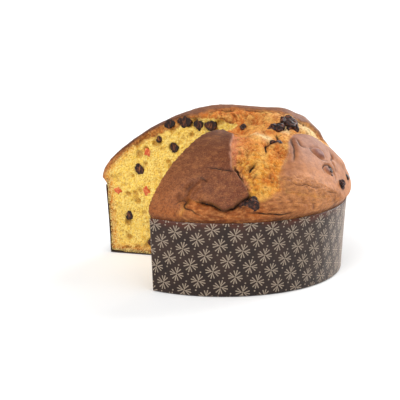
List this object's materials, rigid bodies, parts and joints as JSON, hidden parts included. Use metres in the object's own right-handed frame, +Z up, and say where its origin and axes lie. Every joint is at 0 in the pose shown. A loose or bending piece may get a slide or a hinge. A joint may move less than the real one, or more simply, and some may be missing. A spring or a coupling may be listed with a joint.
{
  "type": "cut low panettone in its paper baking mould",
  "caption": "Low domed panettone with a split, glossy-brown crust, standing in its printed paper mould, with one wedge cut out to show the fruited crumb.",
  "frame": {"origin": "middle of the foot of the whole loaf's box, on the surface that the paper base stands on", "axes": "+Z up from the paper base to the crust; the missing wedge opens towards -X and -Y, and +X is the uncut right-hand side"},
  "size_m": [0.21, 0.2148, 0.1315],
  "materials": {
    "bread": "matte",
    "raisin": "satin",
    "candied_orange": "gloss",
    "mould_paper": "satin"
  },
  "bodies": {
    "root": {"bread": "bread", "mould_wall": "mould_paper", "mould_base": "mould_paper", "raisin_crust_01": "raisin", "raisin_crust_02": "raisin", "raisin_crust_03": "raisin", "raisin_crust_04": "raisin", "raisin_crust_05": "raisin", "raisin_crust_06": "raisin", "raisin_crust_07": "raisin", "raisin_crust_08": "raisin", "raisin_crust_09": "raisin", "raisin_crust_10": "raisin", "raisin_crust_11": "raisin", "raisin_crust_12": "raisin", "raisin_crust_13": "raisin", "raisin_crust_14": "raisin", "raisin_crust_15": "raisin", "raisin_crust_16": "raisin", "raisin_far_cut_01": "raisin", "raisin_far_cut_02": "raisin", "raisin_far_cut_03": "raisin", "raisin_far_cut_04": "raisin", "raisin_far_cut_05": "raisin", "raisin_far_cut_06": "raisin", "raisin_far_cut_07": "raisin", "raisin_far_cut_08": "raisin", "raisin_far_cut_09": "raisin", "raisin_far_cut_10": "raisin", "raisin_far_cut_11": "raisin", "raisin_far_cut_12": "raisin", "raisin_near_cut_01": "raisin", "raisin_near_cut_02": "raisin", "raisin_near_cut_03": "raisin", "raisin_near_cut_04": "raisin", "raisin_near_cut_05": "raisin", "raisin_near_cut_06": "raisin", "raisin_near_cut_07": "raisin", "raisin_near_cut_08": "raisin", "orange_far_cut_01": "candied_orange", "orange_far_cut_02": "candied_orange", "orange_far_cut_03": "candied_orange", "orange_far_cut_04": "candied_orange", "orange_far_cut_05": "candied_orange", "orange_far_cut_06": "candied_orange", "orange_far_cut_07": "candied_orange", "orange_near_cut_01": "candied_orange", "orange_near_cut_02": "candied_orange", "orange_near_cut_03": "candied_orange", "orange_near_cut_04": "candied_orange", "orange_near_cut_05": "candied_orange", "orange_near_cut_06": "candied_orange", "orange_near_cut_07": "candied_orange"}
  },
  "joints": []
}
